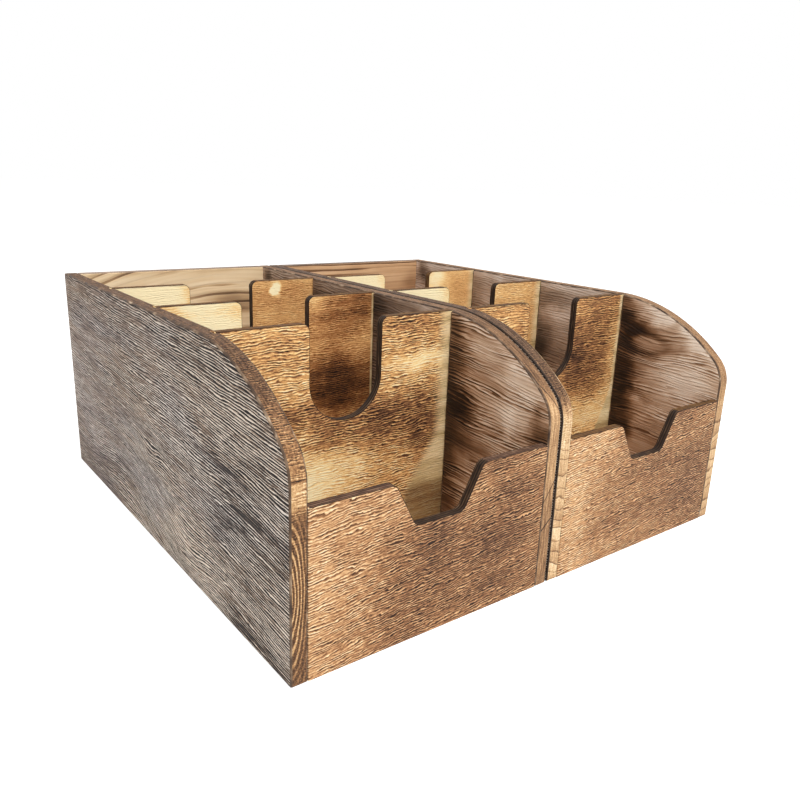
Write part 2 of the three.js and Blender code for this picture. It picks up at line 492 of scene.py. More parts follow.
def notched_sheet(node, notch):
    """Draws a sheet with a notch in the middle of its top edge."""
    low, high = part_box(node)
    middle = (low.x + high.x) / 2
    dip = high.z - notch["depth"]
    corners = [(Vector((x, z)), radius) for x, z, radius in (
        (low.x, low.z, 0), (low.x, high.z, 0),
        (middle - notch["top"], high.z, notch["mouth"]), (middle - notch["bottom"], dip, notch["radius"]),
        (middle + notch["bottom"], dip, notch["radius"]), (middle + notch["top"], high.z, notch["mouth"]),
        (high.x, high.z, 0), (high.x, low.z, 0),
    )]
    start, path = rounded_path(corners)
    sheet = draw_outline(f"{node}_sheet", start, path, lambda p: Vector((p.x, low.y, p.y)),
                         (0, -1, 0), (0, high.y - low.y, 0))
    soften_edges(sheet, SHEET_EDGE)
    return sheet


fronts = {}
divider_sheets = {}
for bin_name in BINS:
    node = f"{bin_name}_front"
    fronts[node] = join_to_frame(notched_sheet(node, FRONT_NOTCH), bin_name, node)
    for divider in DIVIDERS:
        node = f"{bin_name}_{divider}"
        body = node.replace("_bin", "")
        sheet = notched_sheet(node, DIVIDER_NOTCH)
        divider_sheets[node] = join_to_frame(sheet, body, node)
        print(sheet.name, "rides on", body)

# %% [markdown]
# ## Backs and bases
# The back is a board as thick as the sides, and the base is a thin sheet between the walls. Both are plain
# rectangles on the real thing, so a cube is scaled to the CAD box and its edges are rounded over as a
# sanding block would do it.

# %% plain boards
BACK_EDGE = 0.0007


def plain_board(name, node, edge):
    """A block at the node's size and place, with softened edges."""
    board = add_block(*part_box(node))
    board.name = name
    board.data.name = name
    soften_edges(board, edge)
    return board


backs = {}
bases = {}
for bin_name in BINS:
    node = f"{bin_name}_back"
    board = plain_board(f"{node}_board", node, BACK_EDGE)
    backs[node] = join_to_frame(board, bin_name, node)
    node = f"{bin_name}_base"
    sheet = plain_board(f"{node}_sheet", node, SHEET_EDGE)
    bases[node] = join_to_frame(sheet, bin_name, node)
print("backs:", len(backs), "bases:", len(bases))

# %% [markdown]
# ## Soft spots
# Wood is never even. A torch leaves brown clouds, a knot pushes the lines of the grain aside, and a brush
# wears pale places. All of these are drawn here with one helper that adds up soft oval spots, and some of
# the spots are painted shade in the corners and low places of the bins. Each spot has a centre and two
# radii, in millimetres, and an amount, so a spot can darken, bleach or bend whatever it is added to.

# %% spots and clouds
DRIFT_SIZE = 0.016
DRIFT_REACH = 0.010


def soft_spots(finish, place, spots, plane, core=0.1, middle=0.0):
    """Adds up soft spots in the plane XZ or YZ, where X is counted from the middle."""
    marks = [0.0]
    for *sizes, amount in spots:
        a, b, radius_a, radius_b = [size / 1000 for size in sizes]
        centre = (middle + a, 0, b) if plane == "XZ" else (0, a, b)
        shrink = (1 / radius_a, 0, 1 / radius_b) if plane == "XZ" else (0, 1 / radius_a, 1 / radius_b)
        offset = finish.vector("MULTIPLY", finish.vector("SUBTRACT", place, centre), shrink)
        marks.append(finish.soft_step(finish.vector("LENGTH", offset), 1.0, core, 0.0, amount))
    return finish.total(*marks)


def scorch_and_shade(finish, spots, plane, middle=0.0):
    """Spots with a ragged outline, as clouds push them about: torch marks and, in places, painted shade."""
    clouds = finish.cloud(1 / DRIFT_SIZE, detail=3, output="Color")
    push = finish.vector("SUBTRACT", clouds, (0.5, 0.5, 0.5))
    drifted = finish.vector("ADD", finish.place, finish.vector("MULTIPLY", push, (2 * DRIFT_REACH,) * 3))
    return soft_spots(finish, drifted, spots, plane, middle=middle)


def blotches(finish, size):
    """Slow clouds that change the burn from place to place."""
    return finish.cloud(1 / size, detail=3, roughness=0.6)


def specks(finish, size):
    """Small grains of the same size in every direction, from 0 to 1."""
    return finish.cloud(1 / size, roughness=0.7)


print("a ragged outline strays up to", 1000 * DRIFT_REACH, "mm")

# %% [markdown]
# ## Grain
# All the wood here has been torched and then brushed, so its grain stands out as fine wavy ridges with
# darker valleys between them. A picture of wood would stretch or repeat, so the grain is worked out in three
# dimensions. A ridge is a sine wave across the board, and noise shakes it, crowds it and fades it along its
# run. The board's own axes are put in the order along, across and through first, so that one recipe fits
# boards that lie in any direction.

# %% directions of a board
def board_directions(finish, order):
    """The place on the board as along, across and through the grain, with order such as YZX."""
    parts = finish.add("ShaderNodeSeparateXYZ", finish.place).outputs
    return [parts["XYZ".index(letter)] for letter in order]


def long_noise(finish, place, lengths, **words):
    """Noise whose features have these lengths, in metres, in the three directions of the place."""
    scaled = [finish.times(part, 1 / length) for part, length in zip(place, lengths)]
    return finish.noise(finish.add("ShaderNodeCombineXYZ", *scaled).outputs[0], **words)


print("a side board runs along Y, and its grain is read in the order YZX")

# %% ridges, bands and hair lines
PALE_LINE_LAG = 2.2
FULL_TURN = 2 * math.pi


def ripples(finish, place, pitch, run, waver, faintest=0.1):
    """Thin dark lines up to 1, each with a thin pale one down to -1 above it, that waver and fade."""
    shake = long_noise(finish, place, (run, pitch * 1.8, pitch * 4), roughness=0.6)
    crowd = long_noise(finish, place, (run * 4, pitch * 5, pitch * 9), detail=1)
    fade = long_noise(finish, place, (run * 1.5, pitch * 2.5, pitch * 5), detail=1)
    count = finish.total(finish.times(place[1], 1 / pitch), finish.swing(shake, waver),
                         finish.swing(crowd, waver * 1.4))
    turn = finish.times(count, FULL_TURN)
    dark = finish.soft_step(finish.sum("SINE", turn), -0.1, 0.9)
    pale = finish.soft_step(finish.sum("SINE", finish.less(turn, PALE_LINE_LAG)), -0.1, 0.9)
    return finish.times(finish.less(dark, pale), finish.soft_step(fade, 0.34, 0.60, faintest, 1.0))


def grain(finish, order, pitch, run, sway, sway_length=0.07, waver=0.8, tilt=0.0, bows=(),
          arch=(0.0, 0.0), faintest=0.1):
    """Bands and hair lines from 0 to 1, ridges and fine ridges from -1 to 1, and the directions.

    The lines wander by the sway, lean by the tilt, bow round the spots in bows as they do round a knot,
    and arch round a centre with a curve.
    """
    along, level, through = board_directions(finish, order)
    centre, curve = arch
    aside = finish.less(along, centre)
    bent = finish.total(level, finish.times(along, -tilt), finish.times(aside, aside, curve),
                        soft_spots(finish, finish.place, bows, order[:2], core=0.0))
    broad = long_noise(finish, (along, bent, through), (sway_length, 0.03, 0.03))
    across = finish.total(bent, finish.swing(broad, sway))
    place = (along, across, through)
    return SimpleNamespace(
        place=place, along=along, across=across, level=level,
        bands=long_noise(finish, place, (0.11, 0.006, 0.02), detail=3),
        ridges=ripples(finish, place, pitch, run, waver, faintest),
        fine=ripples(finish, place, pitch * 0.55, run * 0.6, waver, faintest),
        hairs=long_noise(finish, place, (run, pitch * 0.35, pitch)),
    )


def ridged(finish, wood):
    """The roughness and the height of brushed wood, whose dark lines are rough valleys."""
    return finish.soft_step(wood.ridges, -1.0, 1.0, 0.55, 0.75), finish.times(wood.ridges, -1.0)


print("the grain has bands, ridges, fine ridges and hair lines")

# %% [markdown]
# ## Finish of the thin sheets
# The torch passed over the sheets by hand, so each one has its own pale and brown places. One number says
# how burnt a point is, from nought for bare cream wood to one for charcoal, and a colour ramp turns the
# number into a colour. Scaly ripples of brushed grain run from side to side over it, strong on the fronts and
# the front dividers and almost lost on the smooth cream ones behind. On the left middle divider one dark spot
# is partly burnt and partly painted shade, low where the front divider's notch looks onto it. Where a divider
# stood against the wall, the torch missed it, so its right end keeps a band of bare wood that widens towards
# the foot and darkens there with painted shade. A sheet gets three finishes: one for its faces, one for the
# edges that the laser charred and one for its browned top.

# %% torched sheet
BURN_STOPS = (0.00, 0.16, 0.32, 0.48, 0.64, 0.82, 1.00)
FRONT_BURN = stops(BURN_STOPS, "f7deb6 e9c394 d2a374 ae7f56 845a3b 523624 20130b")
DIVIDER_BURN = stops(BURN_STOPS, "fff0c4 fbda9c e6b474 c28c56 945f35 5a3619 221207")
FRONT_DIVIDER_BURN = DIVIDER_BURN[:4] + FRONT_BURN[4:]
# Bare wood, whose darker stops carry the painted shade at the foot of the band.
BARE_WOOD_AND_FOOT_SHADE = stops((0.3, 0.5, 0.7, 1.0), "f6e0b4 e2c796 b59b6c 735535")
IN_GROOVE = 0.0018


def bare_band(finish, wood, end, sizes):
    """How bare the wood is near the right end of a divider, from 0 to 1, with its sizes in mm."""
    top_width, foot_width, blur = [size / 1000 for size in sizes]
    width = finish.soft_step(wood.across, 0.060, 0.020, top_width, foot_width)
    inside = finish.less(finish.total(wood.along, width), end)
    return finish.soft_step(inside, -blur, 0.6 * blur, 0.0, 0.85)


def torched_sheet(node, base_burn, scaly, spots, tilt, colours=DIVIDER_BURN, pitch=0.0011, banded=0.14,
                  blotchy=0.14, bare=None):
    """The finish of one sheet, with its own spots, its scales and the bare band of a divider."""
    low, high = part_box(node)
    finish = Finish(f"{node}_torched")
    wood = grain(finish, "XZY", pitch, run=pitch * 3.6, sway=0.0015, sway_length=0.03, waver=0.9,
                 tilt=tilt, faintest=0.3)
    strokes = long_noise(finish, wood.place, (0.0026, 0.0007, 0.002), detail=1)
    # How burnt each point is; on the left middle divider one spot in it is partly painted shade.
    torch = finish.total(
        base_burn, scorch_and_shade(finish, spots, "XZ", middle=(low.x + high.x) / 2),
        finish.swing(blotches(finish, 0.016), blotchy),
        finish.swing(wood.bands, banded),
    )
    scales = finish.total(
        finish.times(wood.ridges, 0.34 * scaly),
        finish.swing(strokes, 0.30 * scaly),
        finish.swing(wood.hairs, 0.12 + 0.14 * scaly),
        finish.swing(specks(finish, 0.0008), 0.10 + 0.06 * scaly),
    )
    shown = finish.soft_step(torch, 0.0, 0.4, 0.35, 1.0)
    colour = finish.ramp(finish.total(torch, finish.times(scales, shown)), colours)
    if bare:
        # Towards the foot the bare band darkens with painted shade, low in the bin.
        shaded = finish.total(wood.bands, finish.soft_step(wood.level, 0.044, 0.016, 0.0, 0.45))
        band = bare_band(finish, wood, high.x - IN_GROOVE, bare)
        colour = finish.mix(band, colour, finish.ramp(shaded, BARE_WOOD_AND_FOOT_SHADE))
    roughness = finish.soft_step(wood.ridges, -1.0, 1.0, 0.55, 0.75)
    height = finish.total(finish.times(wood.ridges, -0.6), finish.times(strokes, -2.0))
    return finish.paint(colour, roughness, height, relief=0.00004 + 0.00010 * scaly)


print("burn colours:", len(FRONT_BURN), len(DIVIDER_BURN))

# %% charred cut edges and browned tops
CUT_STOPS = (0.0, 0.35, 0.60, 0.85, 1.0)
CHARCOAL = stops(CUT_STOPS, "0e0703 23150b 46301e 7b654f a08a72")
TOASTED = stops(CUT_STOPS, "190d06 3c2619 6e5140 8f735d b0947a")
BROWNED = stops(CUT_STOPS, "22140a 54371c 7d5a34 a27e50 c5a374")
PLY = 0.00133


def cut_edge(name, colours, base=0.30, layered=0.34):
    """Cut edge that shows the layers of the sheet as thin pale or dark lines."""
    finish = Finish(name)
    place = board_directions(finish, "XYZ")
    soot = long_noise(finish, place, (0.006, 0.002, 0.006), detail=3)
    count = finish.total(finish.times(place[1], 1 / PLY), finish.swing(soot, 0.3))
    plies = finish.soft_step(finish.sum("SINE", finish.times(count, FULL_TURN)), 0.3, 0.95)
    tone = finish.total(base, finish.times(plies, layered), finish.swing(soot, 0.5))
    roughness = finish.soft_step(soot, 0.3, 0.7, 0.65, 0.9)
    return finish.paint(finish.ramp(tone, colours), roughness, tone, relief=0.0002)


CHAR = cut_edge("charred_cut_edge", CHARCOAL)
TOASTED_TOP = cut_edge("toasted_top", TOASTED, base=0.58, layered=-0.56)
BROWN_TOP = cut_edge("browned_top", BROWNED)
print("made", CHAR.name, TOASTED_TOP.name, "and", BROWN_TOP.name)

# %% sheets get their three finishes
FLAT_ON = 0.95
END_DEPTH = 0.001
TOP_DEPTH = 0.0001


def dress(piece, finishes, slot_of):
    """Gives the piece its finishes, and each face the one that slot_of picks for it."""
    for finish in finishes:
        piece.data.materials.append(finish)
    for face in piece.data.polygons:
        face.material_index = slot_of(face)


def dress_sheet(sheet, *finishes):
    """The broad faces and the glued ends get one finish, the cut edges and the top one each."""
    across = [v.co.x for v in sheet.data.vertices]
    heights = [v.co.z for v in sheet.data.vertices]
    left, right = min(across) + END_DEPTH, max(across) - END_DEPTH
    foot, top = min(heights) + END_DEPTH, max(heights) - TOP_DEPTH

    def slot_of(face):
        glued = face.center.z < foot or not left < face.center.x < right
        if glued or abs(face.normal.y) > FLAT_ON:
            return 0
        return 2 if face.center.z > top else 1

    dress(sheet, finishes, slot_of)


print("the cut edges get", CHAR.name)

# %% burn of the fronts
FRONT_LOOK = dict(colours=FRONT_BURN, base_burn=0.59, scaly=1.0, tilt=0.10, blotchy=0.09)
front_spots = {
    "left_bin_front": [
        (-56, 40, 34, 60, -0.19), (34, 64, 20, 10, 0.12), (-45, 6, 40, 16, -0.1), (6, 26, 40, 24, 0.1),
        (36, 34, 30, 24, 0.14), (40, 8, 40, 14, 0.08), (-28, 58, 30, 14, -0.14), (-2, 42, 20, 12, 0.12),
        (-20, 7, 30, 12, 0.14), (30, 8, 18, 10, 0.08), (-42, 54, 16, 16, 0.05), (49, 54, 14, 12, 0.09),
        (-8, 39, 32, 16, 0.08), (38, 53, 12, 10, 0.08),
    ],
    "right_bin_front": [
        (-54, 34, 32, 60, -0.23), (-30, 56, 30, 16, -0.08), (-36, 4, 34, 14, -0.1),
        (0, 8, 60, 14, -0.06), (42, 34, 30, 30, 0.1), (40, 10, 34, 20, 0.08), (28, 62, 16, 10, 0.12),
        (-30, 62, 14, 10, -0.14), (2, 41, 30, 14, 0.1), (24, 26, 18, 12, 0.06),
    ],
}
for node, sheet in fronts.items():
    face = torched_sheet(node, spots=front_spots[node], **FRONT_LOOK)
    dress_sheet(sheet, face, CHAR, BROWN_TOP if node == "right_bin_front" else TOASTED_TOP)
    print(sheet.name, "has", len(front_spots[node]), "spots")

# %% torch marks on the dividers, with painted shade low on some of them
DIVIDER_TILT = 0.03
divider_looks = {
    "left_bin_front_divider": dict(
        base_burn=0.42, scaly=0.9, colours=FRONT_DIVIDER_BURN, pitch=0.0012, bare=(3.6, 24, 4.4), spots=[
            (-20, 42, 46, 20, -0.38), (-48, 48, 24, 16, -0.14), (5, 64, 35, 14, 0.16),
            (-26, 74, 20, 9, 0.16), (38, 66, 36, 20, 0.29), (42, 91, 28, 10, -0.26),
            (-15, 74, 22, 11, 0.18), (2, 64, 22, 10, 0.08), (34, 110, 32, 12, 0.16),
            (16, 73, 14, 10, 0.2), (-40, 104, 30, 16, 0.04), (42, 52, 20, 12, 0.22),
        ]),
    "left_bin_middle_divider": dict(
        base_burn=0.38, scaly=0.5, banded=0.20, bare=(0.4, 0.7, 0.8), spots=[
            # The first spot here is partly burnt and partly painted shade, where the front divider's notch
            # looks onto it.
            (34, 66, 50, 30, 0.52), (34, 104, 34, 22, 0.28), (-40, 104, 36, 34, -0.42),
            (-56, 100, 18, 22, 0.26), (-30, 96, 18, 5, 0.16), (24, 111, 12, 9, -0.24),
            (54, 107, 13, 16, 0.19),
        ]),
    "left_bin_rear_divider": dict(
        base_burn=0.38, scaly=0.4, spots=[
            (36, 100, 34, 30, 0.08), (0, 60, 40, 20, 0.24), (-40, 104, 38, 36, -0.52),
            # This last spot is a small pale spot near the top of the right post.
            (33.5, 110, 6, 7, -1.1),
        ]),
    "right_bin_front_divider": dict(
        base_burn=0.51, scaly=0.7, colours=FRONT_DIVIDER_BURN, pitch=0.0013, bare=(1.0, 14, 1.8), spots=[
            (40, 108, 34, 14, 0.15), (34, 84, 32, 26, 0.18), (20, 80, 13, 22, 0.22),
            (36, 44, 50, 18, -0.3), (57, 66, 13, 44, -0.2), (-40, 100, 30, 30, -0.06),
            (36, 65, 34, 13, 0.13),
        ]),
    "right_bin_middle_divider": dict(
        base_burn=0.36, scaly=0.5, bare=(2.6, 10, 3.6), spots=[
            (38, 80, 30, 30, 0.06), (12, 66, 22, 20, 0.24), (-40, 104, 36, 34, -0.64),
        ]),
    "right_bin_rear_divider": dict(
        base_burn=0.31, scaly=0.25, bare=(2.2, 8, 3.6), spots=[
            (24, 110, 18, 16, -0.26), (46, 98, 14, 14, 0.06), (6, 64, 30, 20, 0.24),
            (-40, 104, 36, 34, -0.56),
        ]),
}
for node, sheet in divider_sheets.items():
    face = torched_sheet(node, tilt=DIVIDER_TILT, **divider_looks[node])
    dress_sheet(sheet, face, BROWN_TOP if node == "right_bin_rear_divider" else CHAR, BROWN_TOP)
print("dressed", len(divider_sheets), "dividers")

# %% [markdown]
# ## Finish of the side boards
# A side shows three main finishes. The outer face has gone grey and taupe with long wavy lines. The inner
# face is brown and streaked and greyer with smoke towards the rear. It is darker where the dividers stand,
# partly scorched and partly painted shade, and the right-hand walls get more painted shade in their corners.
# The narrow edge is end grain at the front, where the growth rings show as arcs or bars, and long grain on
# the top. The two thin roundings between them were scorched or worn, except the outer one that faces the
# narrow gap between the bins, which is dark painted shade, so they get finishes of their own. The faces are
# told apart by the way they point.

# %% the rim of a side board
def rim_place(finish, along, level):
    """How far a point lies inside the curved rim and the top edge, and how far along the rim it is."""
    corner_end = cad_low.y + CORNER_RUN
    ahead = finish.sum("MAXIMUM", finish.less(corner_end, along), 0.0)
    behind = finish.sum("MAXIMUM", finish.less(along, corner_end), 0.0)
    rise = finish.less(level, cad_high.z - CORNER_RADIUS)
    offset = finish.add("ShaderNodeCombineXYZ", ahead, rise, 0.0).outputs[0]
    inside = finish.less(CORNER_RADIUS, finish.vector("LENGTH", offset))
    turn = finish.times(finish.sum("ARCTAN2", ahead, rise), CORNER_RADIUS)
    return inside, finish.less(turn, behind)


print("the rim has a radius of", CORNER_RADIUS, "m")

# %% outer face
GREY_STOPS = (0.0, 0.20, 0.40, 0.58, 0.78, 1.0)
WARM_GREY = stops(GREY_STOPS, "f6e6d6 c4ac98 9a8472 745f50 463830 191310")
COOL_GREY = stops(GREY_STOPS, "ebe3e0 b3a8a6 8a8080 665d5f 3f383a 171415")
OUTER_SPOTS = [
    (-30, 18, 30, 14, -0.32), (-54, 8, 30, 10, -0.3), (-105, 50, 64, 50, 0.56), (-64, 65, 30, 14, 0.12),
    (-10, 45, 30, 14, 0.12), (-105, 2, 44, 16, 0.64), (125, 60, 70, 60, -0.16), (-70, 104, 60, 20, 0.22),
    (85, 28, 50, 14, -0.12), (-125, 24, 14, 14, -0.22), (-85, 40, 34, 16, 0.1),
]
OUTER_BOWS = [
    (40, 26, 75, 50, -0.008), (4, 42, 22, 12, 0.004), (-40, 10, 34, 22, 0.004),
]
WARM_PLACES = [
    (-90, 95, 60, 40, -0.7), (-120, 20, 60, 34, -0.5), (-45, 12, 50, 22, -0.6),
]


def weathered_face(name, order, bold_ends, spots=(), bows=(), warm_places=(), rim_burn=0.0):
    """Grey-brown outer face with fine wavy lines along it, bolder towards one end."""
    finish = Finish(name)
    plane = order[:2]
    wood = grain(finish, order, pitch=0.00118, run=0.012, sway=0.0026, waver=0.70, tilt=0.05, bows=bows,
                 faintest=0.4)
    patches = long_noise(finish, wood.place, (0.030, 0.008, 0.02), detail=1)
    bold = finish.times(
        finish.soft_step(wood.along, 0.10, -0.10, *bold_ends),
        finish.soft_step(patches, 0.36, 0.60, 0.60, 1.1),
        finish.soft_step(wood.level, 0.050, 0.100, 1.0, 0.82),
    )
    lines = finish.total(wood.ridges, finish.times(wood.fine, 0.4))
    rim = rim_place(finish, wood.along, wood.level)[0]
    tone = finish.total(
        0.50, scorch_and_shade(finish, spots, plane),
        finish.swing(blotches(finish, 0.03), 0.16),
        finish.swing(wood.bands, 0.24),
        finish.times(lines, bold),
        finish.swing(wood.hairs, 0.50),
        finish.soft_step(rim, 0.0035, 0.0005, 0.0, rim_burn),
    )
    streaks = long_noise(finish, wood.place, (0.08, 0.016, 0.05))
    warmth = soft_spots(finish, finish.place, warm_places, plane)
    cool = finish.soft_step(finish.total(streaks, warmth), 0.30, 0.70, 0.0, 0.6)
    colour = finish.mix(cool, finish.ramp(tone, WARM_GREY), finish.ramp(tone, COOL_GREY))
    roughness = finish.soft_step(wood.ridges, -1.0, 1.0, 0.6, 0.8)
    return finish.paint(colour, roughness, finish.times(lines, -1.0), relief=0.00018)


OUTER = weathered_face("weathered_outer_face", "YZX", (0.46, 1.60), OUTER_SPOTS, OUTER_BOWS, WARM_PLACES,
                       rim_burn=0.20)
BACK_OUTER = weathered_face("weathered_back_face", "XZY", (0.55, 0.60))
print("made", OUTER.name, "and", BACK_OUTER.name)

# %% inner face
WALL_STOPS = (0.0, 0.20, 0.40, 0.60, 0.80, 1.0)
WALL = stops(WALL_STOPS, "f5e2cf d9bca2 b28d70 825e42 4e321c 221207")
SMOKED_WALL = stops(WALL_STOPS, "f2e4d8 d6c0ae ae947f 7f6856 4d3d31 211813")
SMOKE_FROM, SMOKE_TO = -0.072, -0.050
KNOT_REACH = 1.5
KNOT_BOW = 0.0034


def streaked_wall(name, base_burn, lines, spots, tilt=0.0, knot=(), rim_burn=0.34):
    """Brown inner face with thin dark lines and long streaks, scorched or worn along its rim."""
    finish = Finish(name)
    bows = [(y, z, KNOT_REACH * ry, KNOT_REACH * rz, KNOT_BOW) for y, z, ry, rz, amount in knot[:1]]
    wood = grain(finish, "YZX", pitch=0.0016, run=0.018, sway=0.005, waver=1.0, tilt=tilt, bows=bows)
    patches = long_noise(finish, wood.place, (0.045, 0.010, 0.03), detail=1)
    strength = finish.times(
        finish.soft_step(patches, 0.40, 0.62, 0.15 * lines, 1.3 * lines),
        finish.soft_step(wood.along, -0.050, -0.074, 0.45, 1.0),
    )
    rim = rim_place(finish, wood.along, wood.level)[0]
    # The spots darken the wall with torch marks and with painted shade where other panels meet it.
    darkness = finish.total(
        base_burn, scorch_and_shade(finish, spots, "YZ"), soft_spots(finish, finish.place, knot, "YZ", core=0.5),
        finish.swing(wood.bands, 0.16),
        finish.times(finish.soft_step(wood.ridges, -0.8, 1.0, -0.3, 1.0), strength),
        finish.times(wood.fine, strength, 0.3),
        finish.swing(wood.hairs, 0.16),
        finish.soft_step(rim, 0.006, 0.001, 0.0, rim_burn),
    )
    smoke = finish.soft_step(wood.along, SMOKE_FROM, SMOKE_TO)
    colour = finish.mix(smoke, finish.ramp(darkness, WALL), finish.ramp(darkness, SMOKED_WALL))
    return finish.paint(colour, *ridged(finish, wood), relief=0.00016)


# Dark bands where the dividers meet the walls: painted shade in those corners, mixed with torch marks.
DIVIDER_SHADE_AND_SCORCH = [
    (-64, 60, 23, 90, 0.6), (0, 60, 22, 80, 0.4), (64, 60, 22, 80, 0.34),
]
# Torch marks and pale places on the left bin's right wall, with painted shade in the corners by the front,
# the front divider and the back.
LEFT_BIN_WALL = [
    (-92, 102, 20, 9, -0.14), (-68, 110, 9, 8, 0.14), (-113, 95, 14, 8, -0.12), (-122, 84, 12, 8, -0.1),
    (-96, 75, 12, 8, -0.08), (-85, 47, 14, 10, 0.12), (-87, 66, 10, 8, 0.14), (-110, 84, 18, 20, -0.22),
    (-107, 72, 16, 10, -0.24), (-78, 70, 16, 14, 0.4), (-85, 54, 20, 12, 0.22), (-81, 40, 30, 14, -0.02),
    (-128, 68, 12, 14, 0.36), (40, 100, 90, 30, 0.3), (-14, 109, 34, 14, 0.26), (110, 112, 34, 14, 0.18),
    (119, 108, 9, 14, 0.34), (-38, 112, 14, 6, 0.12),
]
# Torch marks and pale places on the right bin's right wall, with painted shade near the front divider and in
# the rear corner.
RIGHT_BIN_WALL = [
    (-112, 74, 30, 24, -0.24), (-88, 40, 30, 12, 0.12), (-70, 112, 10, 7, 0.3), (-77, 35, 14, 10, 0.3),
    (-99, 53, 16, 10, -0.16), (-110, 65, 16, 8, -0.12), (-76, 98, 18, 9, 0.4), (-85, 88, 22, 12, 0.16),
    (-95, 107, 20, 8, -0.4), (-116, 95, 16, 10, -0.4), (-80, 58, 20, 5, 0.24), (-76, 66, 13, 22, 0.14),
    (-104, 86, 14, 6, 0.22), (-103, 109, 14, 6, 0.12), (-16, 104, 24, 6, 0.14), (-19, 95, 24, 6, -0.12),
    (-14, 72, 26, 14, 0.22), (117, 108, 10, 14, 0.34), (34, 111, 10, 4, -0.16),
]
RIGHT_BIN_KNOT = [
    (-83, 89, 20, 9.5, 0.34), (-85, 88.4, 15, 5.6, -0.36),
]
PLAIN_WALL = dict(base_burn=0.36, lines=0.26, spots=DIVIDER_SHADE_AND_SCORCH)
wall_looks = {
    "left_bin_left": PLAIN_WALL,
    "left_bin_right": dict(base_burn=0.31, lines=0.36, spots=DIVIDER_SHADE_AND_SCORCH + LEFT_BIN_WALL, tilt=0.06,
                           rim_burn=-0.10),
    "right_bin_left": PLAIN_WALL,
    "right_bin_right": dict(base_burn=0.31, lines=0.28, spots=DIVIDER_SHADE_AND_SCORCH + RIGHT_BIN_WALL, tilt=0.06,
                            knot=RIGHT_BIN_KNOT, rim_burn=-0.16),
}
INNER = {f"{side}_side": streaked_wall(f"{side}_streaked", **look) for side, look in wall_looks.items()}
print("made", len(INNER), "inner faces")

# %% lines across the narrow edge
ARC_CENTRE = (-0.1312, 0, 0.036)
ARC_STRETCH = (1, 0, 0.22)
ARC_PITCH = 0.0012


def ring_arcs(finish):
    """Growth rings as nested arcs of thin pale lines that swell from the outer side of the edge."""
    offset = finish.vector("MULTIPLY", finish.vector("SUBTRACT", finish.place, ARC_CENTRE), ARC_STRETCH)
    waver = finish.swing(finish.cloud(90, 20, 60), ARC_PITCH * 0.6)
    radius = finish.total(finish.vector("LENGTH", offset), waver)
    wave = finish.sum("SINE", finish.times(radius, FULL_TURN / ARC_PITCH))
    return finish.times(finish.soft_step(wave, -0.2, 0.9),
                        finish.soft_step(radius, 0.0085, 0.0050, -0.14, -0.46))


def ring_bars(finish, pitch, lean):
    """Bars across the edge with a thin dark line between them, as flat-lying rings leave them."""
    across, level = board_directions(finish, "XZ")
    count = finish.total(finish.times(level, 1 / pitch), finish.swing(finish.cloud(70, 20, 90), 1.1),
                         finish.times(across, lean / pitch))
    part = finish.sum("FRACT", count)
    line = finish.soft_step(part, 0.20, 0.02, 0.0, 0.28)
    each = finish.add("ShaderNodeTexWhiteNoise", noise_dimensions="1D")
    finish.feed(each.inputs["W"], finish.sum("FLOOR", count))
    return finish.total(line, finish.swing(part, -0.05), finish.swing(each.outputs["Value"], 0.10))


def crack(finish, height, slant):
    """One thin crack that crosses the front edge at a height, with a slant."""
    across, along, level = board_directions(finish, "XYZ")
    offset = finish.total(level, finish.times(across, -slant), -height)
    line = finish.soft_step(finish.sum("ABSOLUTE", offset), 0.0007, 0.0002, 0.0, 0.40)
    return finish.times(line, finish.soft_step(along, 0.0, -0.05))


print("the arcs lie", 1000 * ARC_PITCH, "mm apart")

# %% narrow edge
EDGE_STOPS = (0.0, 0.22, 0.42, 0.62, 0.82, 1.0)
EDGE_WOOD = stops(EDGE_STOPS, "fbe8c2 e4c194 bd946a 8c6848 543b29 271910")
GOLDEN_EDGE = stops(EDGE_STOPS, "fae4bb e3bc8b bb8f60 8b6341 543925 27180e")
WAIST_HEIGHT = 0.0725


def edge_finish(name, burns, streaky, grey, rings=None, wrinkled=0.04, cracks=(), sweep_ends=(0.066, 0.080),
                foot_ends=(0.070, 0.060), pale_waist=0.0, colours=EDGE_WOOD):
    """The narrow edge. The burn differs at the foot, the waist and the curved sweep of the edge."""
    finish = Finish(name)
    across, along, level = board_directions(finish, "XYZ")
    place = (across, rim_place(finish, along, level)[1], 0.0)
    streaks = long_noise(finish, place, (1 / 1300, 1 / 70, 1), detail=3)
    wrinkles = ripples(finish, place, pitch=0.0010, run=0.0030, waver=0.9)
    foot, waist, sweep = burns
    in_foot = finish.soft_step(level, *foot_ends)
    on_sweep = finish.soft_step(level, *sweep_ends)
    from_waist = finish.sum("ABSOLUTE", finish.less(level, WAIST_HEIGHT))
    darkness = finish.total(
        waist, finish.times(rings[0](finish, *rings[1:]), in_foot) if rings else 0.0,
        *[crack(finish, height, slant) for height, slant in cracks],
        finish.times(wrinkles, finish.soft_step(in_foot, 0.0, 1.0, wrinkled, wrinkled / 3)),
        finish.soft_step(from_waist, 0.0060, 0.0035, 0.0, -pale_waist),
        finish.times(on_sweep, sweep - waist),
        finish.times(in_foot, foot - waist),
        finish.swing(streaks, streaky),
        finish.swing(specks(finish, 0.0008), 0.24 + 0.8 * wrinkled),
        finish.swing(blotches(finish, 0.012), 0.10),
    )
    greyed = finish.soft_step(level, 0.084, 0.110, 0.0, grey)
    colour = finish.mix(greyed, finish.ramp(darkness, colours), finish.ramp(darkness, WARM_GREY))
    roughness = finish.soft_step(streaks, 0.3, 0.7, 0.55, 0.75)
    return finish.paint(colour, roughness, finish.total(streaks, specks(finish, 0.0009)), relief=0.0005)


